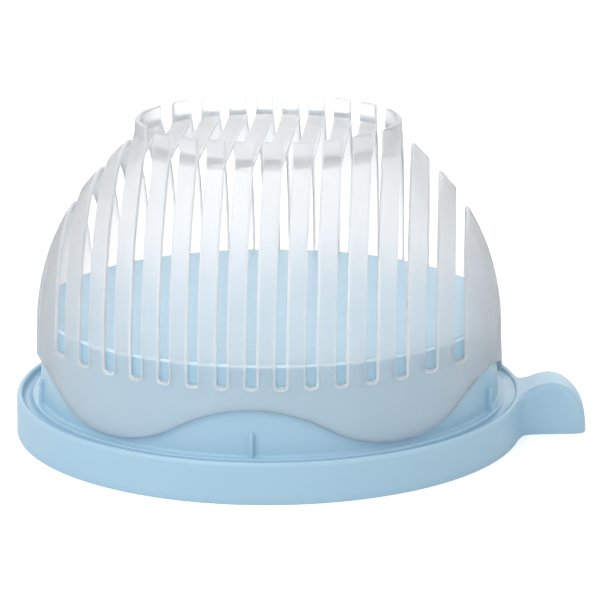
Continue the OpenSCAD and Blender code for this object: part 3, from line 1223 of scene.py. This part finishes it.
    def board_points(self) -> list[tuple]:
        """Draws the board's half section from its top's middle, round it and back under it.

        Returns:
            Rows that start with the radius and the height.
        """
        r, h, edge = self.board_r, self.board_h, self.board_edge
        foot, ledge, wall = self.wall_foot_r, self.ledge_h, self.wall
        e, u, t = self.ledge_edge, self.under_round, self.top_round
        half, floor, pan = self.groove_w / 2, self.groove_floor, self.pan_under
        meet, inner = self.groove_mid + self.overlap, self.groove_in - wall
        under, low = ledge - wall * self.ledge_wall, h - wall * self.top_wall
        top_gap, ledge_gap = self.edge_gap
        rows = [(x, h) for x in (*self.top_rows, r - edge - top_gap, r - edge)]
        rows += arc((r - edge, h - edge), edge, 90.0, 0.0, 6)
        rows += [(r + (foot - r) * s, h - edge + (ledge - h + edge) * s)
                 for s in self.wall_rows]
        rows += arc((foot + self.ledge_fillet, ledge + e), e, 180.0, 270.0, 4)
        rows += [(self.groove_in - e - ledge_gap, ledge), (self.groove_in - e, ledge)]
        rows += arc((self.groove_in - e, ledge - e), e, 90.0, 0.0, 5)
        rows += [(self.groove_in, floor + half)]
        rows += arc((self.groove_mid, floor + half), half, 180.0, 270.0, 7)
        rows += [(meet, floor), (meet, pan), (inner + u, pan)]
        rows += arc((inner + u, pan + u), u, 270.0, 180.0, 3)
        rows += arc((inner - u, under - u), u, 0.0, 90.0, 3)
        rows += [(foot - wall + self.under_bevel, under), (foot - wall, under + self.under_bevel),
                 (r - wall + self.under_step, low - t)]
        rows += arc((r - wall - t, low - t), t, 0.0, 90.0, 4)
        rows += [(x, low) for x in self.under_rows]
        return without_repeats(rows)

    def build_board(self, finish: bpy.types.Material) -> bpy.types.Object:
        """Returns the board with its wall, ledge and half of the groove.

        Args:
            finish: The base's plastic.

        Returns:
            The board, turned from its half section.
        """
        points = self.board_points()
        mesh = bpy.data.meshes.new("board_section")
        mesh.from_pydata([(row[0] * MM, 0.0, row[1] * MM) for row in points],
                         [(i, i + 1) for i in range(len(points) - 1)], [])
        return self.fade_groove(turned_tree().bake(mesh, "base_board", finish, Rows=len(points),
                                                   Steps=self.steps))

    # The ribs at the foot of the board's wall

    def build_ribs(self, finish: bpy.types.Material) -> bpy.types.Object:
        """Returns the stop ribs: upright, half round, with a rounded top.

        Args:
            finish: The base's plastic.

        Returns:
            All the ribs as one piece.
        """
        half, top = self.rib_w / 2, self.ledge_h + self.rib_h - self.rib_w / 2
        front = self.wall_foot_r + self.rib_proud - half
        back = self.board_r - self.rib_root[0]
        levels = [(self.ledge_h - self.rib_root[1], half), (top, half)]
        levels += [(top + half * math.sin(a), half * math.cos(a))
                   for a in map(math.radians, self.rib_crown)]
        verts = []
        for z, width in levels:
            nose = arc((front, 0.0), width, -90.0, 90.0, 12, 0)
            verts += [(x * MM, y * MM, z * MM)
                      for x, y, *_ in [*nose, (back, width), (back, -width)]]
        rings = point_rings(len(levels), len(verts) // len(levels))
        mesh = bpy.data.meshes.new("rib")
        mesh.from_pydata(verts, [], [*ring_faces(rings), tuple(rings[0]), tuple(rings[-1])])
        return ring_tree().bake(mesh, "base_stop_ribs", finish, Count=self.ribs,
                                Start_Angle=-math.pi / 2)

    # The tray's outer half with the lip and the tab

    def plan(self) -> np.ndarray:
        """Draws the outline on the table, once round, in order of angle.

        Returns:
            The outline's points.
        """
        tab = self.outline
        turn = math.degrees(math.atan2(tab[0, 1], tab[0, 0]))
        count = int((360 - 2 * turn) / self.plan_turn)
        angles = np.radians(np.linspace(turn, 360 - turn, count + 1))[1:-1]
        round_part = np.stack([np.cos(angles), np.sin(angles)], axis=1) * self.tray_r
        return np.concatenate([tab[::-1], round_part, tab[:-1] * [1.0, -1.0]])

    def tab_share(self, x: np.ndarray, y: np.ndarray) -> np.ndarray:
        """Returns 1 on the tab and 0 on the plain lip, with a smooth change along the lip."""
        return (1.0 - smooth_step(*self.tab_blend, np.abs(y))) * (np.asarray(x) > 0)

    def top_height(self, x: np.ndarray, y: np.ndarray) -> np.ndarray:
        """Returns the height of the upper side before its edges are rounded.

        Args:
            x: Places along the tab.
            y: Places across it.

        Returns:
            The lip's or the tab's height at each place.
        """
        ends = np.interp(np.abs(y), self.outline[::-1, 1], self.outline[::-1, 0])
        shift = (self.tab_end - np.minimum(ends, self.tab_end)) * smooth_step(*self.tab_nose, x)
        ridge = np.interp(x + shift, self.ridge[:, 0], self.ridge[:, 1])
        return self.tray_h + (ridge - self.tray_h) * self.tab_share(x, y)

    def edge_drop(self, x: np.ndarray, y: np.ndarray, r: np.ndarray, limit: np.ndarray) -> np.ndarray:
        """Returns how far the rounded edge falls below the upper side, near the outline.

        Args:
            x: Places along the tab.
            y: Places across it.
            r: Their distance from the axis.
            limit: The outline's distance from the axis in the same direction.

        Returns:
            The drop at each place.
        """
        along, across = self.outline.T
        side = np.interp(x, along, across)
        lean = np.interp(x, along, np.abs(np.gradient(
            across, np.maximum(along, 0) + np.arange(len(along)) * NUDGE)))
        in_tab = (side - np.abs(y)) / np.sqrt(1 + np.minimum(lean, self.side_lean) ** 2)
        share = self.tab_share(x, y)
        c = self.lip_r + (self.tab_edge - self.lip_r) * share * smooth_step(*self.tab_root, x)
        d = np.clip(np.where(x > self.tab_side_from, in_tab, limit - r), 0.0, c)
        tall = 1.0 + (self.lip_stretch - 1.0) * (1.0 - share)
        return tall * (c - np.sqrt(np.maximum(c * c - (c - d) ** 2, 0.0)))

    def build_tray(self) -> bpy.types.Object:
        """Builds the tray's outer half: groove wall, lip, outer wall and tab, as one closed ring.

        Returns:
            The tray, with the hollow under its tab.
        """
        plan = self.plan()
        limit = np.hypot(plan[:, 0], plan[:, 1])
        cosine, sine = plan[:, 0] / limit, plan[:, 1] / limit
        share = self.tab_share(limit * cosine, limit * sine)
        top_out = limit - (self.tray_r - self.lip_out) * (1 - share)
        half, mid, floor = self.groove_w / 2, self.groove_mid, self.groove_floor
        crest = self.top_height(self.lip_mid * cosine, self.lip_mid * sine)
        rows = arc((mid, floor + half), half, 270, 360, 6, 0)
        rows.append((self.groove_out, floor + half + (crest - self.lip_r - floor - half) / 2))
        rows += arc((self.lip_mid, crest - self.lip_r), self.lip_r, 180, 90, 6, 0)
        edge_z = crest
        for i in range(1, self.lip_steps + 1):
            r = self.lip_mid + (top_out - self.lip_mid) * math.sin(math.pi / 2 * i / self.lip_steps)
            x, y = r * cosine, r * sine
            edge_z = np.maximum(self.top_height(x, y) - self.edge_drop(x, y, r, top_out),
                                self.tab_lowest)
            rows.append((r, edge_z))
        foot = self.tray_foot
        for t in (0.2, 0.5, 0.8):
            low = edge_z * (1 - t) + foot * t
            rows.append((top_out + (limit - top_out) * (1 - low / edge_z), low))
        inner, bevel, turn = self.tray_r - self.wall, self.foot_inner, self.pan_round
        under, meet = self.pan_under - turn, mid - self.overlap
        rows += [(limit, foot), (limit - self.foot_bevel, self.foot_bevel), (limit - foot, 0.0),
                 (inner + bevel, 0.0), (inner, bevel), (inner, under)]
        rows += arc((inner - turn, under), turn, 0, 90, 4)
        rows += [(meet, self.pan_under), (meet, floor + self.overlap_rise)]
        verts = np.concatenate([np.stack(np.broadcast_arrays(r * cosine, r * sine, z), axis=1)
                                for r, z, *_ in rows])
        faces = ring_faces(point_rings(len(rows), len(plan)), closed=True)
        return self.hollow_tab(self.fade_groove(make_object("base_tray", verts, faces)))

    def hollow_tab(self, tray: bpy.types.Object) -> bpy.types.Object:
        """Cuts the hollow under the tab.

        Args:
            tray: The tray with its solid tab.

        Returns:
            The same piece.
        """
        wall, (deep, wide) = self.tab_wall, self.hollow_grid
        (width_ahead, roof_ahead), (cut_floor, lowest) = self.hollow_ahead, self.hollow_z
        verts = []
        for x in np.linspace(self.tray_r + self.hollow_from, self.tab_end - wall, deep):
            w = float(np.interp(x + wall * width_ahead, *self.outline.T)) - wall
            w = max(self.hollow_half[0], min(w, self.hollow_half[1]))
            for s in np.linspace(-1.0, 1.0, wide):
                y = w * math.sin(s * math.pi / 2)
                z = float(self.top_height(np.array([x + wall * roof_ahead]), np.array([y]))[0]) - wall
                verts.append((x, y, max(z - self.hollow_crown * abs(s) ** 4, lowest)))
        top = len(verts)
        verts += [(x, y, cut_floor) for x, y, _ in verts]
        faces: list[Face] = []
        for a in (i * wide + j for i in range(deep - 1) for j in range(wide - 1)):
            faces.append((a, a + 1, a + wide + 1, a + wide))
            faces.append((top + a, top + a + wide, top + a + wide + 1, top + a + 1))
        edge = [*range(wide), *range(2 * wide - 1, top, wide), *range(top - 2, top - wide - 1, -1),
                *range(top - 2 * wide, 0, -wide)]
        faces += [(a, top + a, top + b, b) for a, b in zip(edge, edge[1:] + edge[:1])]
        cutter = make_object("tab_hollow", np.array(verts), faces)
        cut = tray.modifiers.new("hollow", "BOOLEAN")
        cut.operation, cut.object, cut.solver = "DIFFERENCE", cutter, "EXACT"
        tray.data = applied_mesh(tray, tray.name)
        bpy.data.objects.remove(cutter)
        tray.data.set_sharp_from_angle(angle=SHARP_TURN)
        return tray


# The stage ----------------------------------------------------------------------------------


@dataclass(frozen=True)
class Lamp:
    """One soft area lamp that looks at the object, with its place in metres."""

    name: str
    place: tuple[float, float, float]
    size: float
    power: float
    tint: Colour
    aim: tuple[float, float, float] = (0.0, 0.0, 0.05)

    def build(self) -> None:
        """Adds the lamp to the scene."""
        data = bpy.data.lights.new(self.name, "AREA")
        data.energy, data.size, data.color = self.power, self.size, self.tint
        made = bpy.data.objects.new(self.name, data)
        made.location = self.place
        view = Vector(self.aim) - Vector(self.place)
        made.rotation_euler = view.to_track_quat("-Z", "Y").to_euler()
        bpy.context.scene.collection.objects.link(made)


LAMPS = (Lamp("lamp_key", (-0.75, -1.05, 1.2), 1.6, 14.0, (1.0, 0.99, 0.985)),
         Lamp("lamp_fill", (1.2, -1.0, 0.8), 1.6, 2.2, (1.0, 0.95, 0.88)),
         Lamp("lamp_back", (0.0, 1.3, 0.9), 1.8, 6.0, (1.0, 0.98, 0.97)))


@dataclass
class Stage:
    """The plain pale floor, the world, the lamps and the camera."""

    camera_place: tuple[float, float, float] = (0.05485, -0.9137, 0.2895)
    camera_turn: tuple[float, float, float] = (75.284, 0.0, 3.462)
    lens: float = 148.06
    sensor: float = 36.0
    clip: tuple[float, float] = (0.01, 50.0)
    floor_size: float = 12.0
    shade: float = 0.86
    glow: float = 0.42
    sky: Colour = (0.97, 0.985, 1.0)
    sky_strength: float = 0.66

    def build(self) -> None:
        """Makes the floor, the world, the lamps and the camera."""
        scene = bpy.context.scene
        scene.view_settings.view_transform = "Standard"
        bpy.ops.mesh.primitive_plane_add(size=self.floor_size, location=(0, 0, 0))
        floor = bpy.context.active_object
        floor.name = "floor"
        floor.data.materials.append(self.floor_paint())
        self.world(scene)
        for lamp in LAMPS:
            lamp.build()
        data = bpy.data.cameras.new("camera")
        data.lens, data.sensor_width = self.lens, self.sensor
        data.clip_start, data.clip_end = self.clip
        camera = bpy.data.objects.new("camera", data)
        camera.location = self.camera_place
        camera.rotation_euler = Euler([math.radians(a) for a in self.camera_turn])
        scene.collection.objects.link(camera)
        scene.camera = camera

    @staticmethod
    def seen(t: NodeKit, *kinds: str) -> Socket:
        """Adds a value that is 1 for some kinds of ray and 0 for the rest.

        Args:
            t: The nodes of a material or of the world.
            kinds: The kinds of ray.

        Returns:
            The value.
        """
        path = t.node("ShaderNodeLightPath").outputs
        value = path[f"Is {kinds[0]} Ray"]
        for kind in kinds[1:]:
            value = t.math("MAXIMUM", value, path[f"Is {kind} Ray"])
        return value

    def floor_paint(self) -> bpy.types.Material:
        """Makes the floor's pale paint, which glows a little in direct and in clear views.

        Returns:
            The paint.
        """
        paint = bpy.data.materials.new("floor_paint")
        paint.use_nodes = True
        t = NodeKit(paint.node_tree)
        shader = t.tree.nodes["Principled BSDF"].inputs
        for key, value in {
            "Base Color": (self.shade, self.shade, self.shade, 1.0), "Roughness": 0.7,
            "Specular IOR Level": 0.2, "Emission Color": WHITE,
            "Emission Strength": t.math("MULTIPLY", self.seen(t, "Camera", "Transmission"),
                                        self.glow),
        }.items():
            t.feed(shader[key], value)
        return paint

    def world(self, scene: bpy.types.Scene) -> None:
        """Sets the pale world light, which is pure white to the camera and in clear views.

        Args:
            scene: The scene that it lights.
        """
        scene.world = bpy.data.worlds.new("studio")
        scene.world.use_nodes = True
        t = NodeKit(scene.world.node_tree)
        plain = t.tree.nodes["Background"]
        t.feed(plain.inputs["Color"], (*self.sky, 1.0))
        t.feed(plain.inputs["Strength"], self.sky_strength)
        white = t.node("ShaderNodeBackground", {"Color": WHITE})
        mix = t.node("ShaderNodeMixShader", {0: self.seen(t, "Camera", "Glossy", "Transmission"),
                                             1: plain.outputs[0], 2: white.outputs[0]})
        t.feed(t.tree.nodes["World Output"].inputs["Surface"], mix.outputs[0])


def dress(piece: bpy.types.Object, body: str, node: str, finish: Finish,
          *materials: bpy.types.Material) -> None:
    """Puts a finish on a piece, and says which body it rides on and which node it stands for.

    Args:
        piece: The piece.
        body: The body that it rides on.
        node: The node that it stands for.
        finish: Not used.
        materials: The finish as a material, then those of the faces marked 1 and 2 if it has them.
    """
    piece.data.materials.clear()
    for material in materials:
        piece.data.materials.append(material)
    if len(materials) > 1:
        marks = np.zeros(len(piece.data.polygons), dtype=np.int32)
        piece.data.attributes["cut_side"].data.foreach_get("value", marks)
        piece.data.polygons.foreach_set("material_index", marks)
    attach(piece, body)
    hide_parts(node)
    log.info("%s rides on %s: %d faces", piece.name, body, len(piece.data.polygons))


def main() -> None:
    """Builds the stage and both pieces of the salad cutter."""
    logging.basicConfig(level=logging.INFO, format="%(name)s: %(message)s")
    Stage().build()
    groups = moulded_skin(), knife_cuts_and_painted_highlight()
    blue = PALE_BLUE.material(*groups)
    base = Base()
    for piece in (base.build_board(blue), base.build_tray(), base.build_ribs(blue)):
        dress(piece, "base", "base", PALE_BLUE, blue)
    dress(Bowl().build(), "bowl", "bowl", MILKY_CLEAR,
          *[finish.material(*groups) for finish in (MILKY_CLEAR, MILKY_EDGE, RIM_PAINTED_SHADE)])


if __name__ == "__main__":
    main()
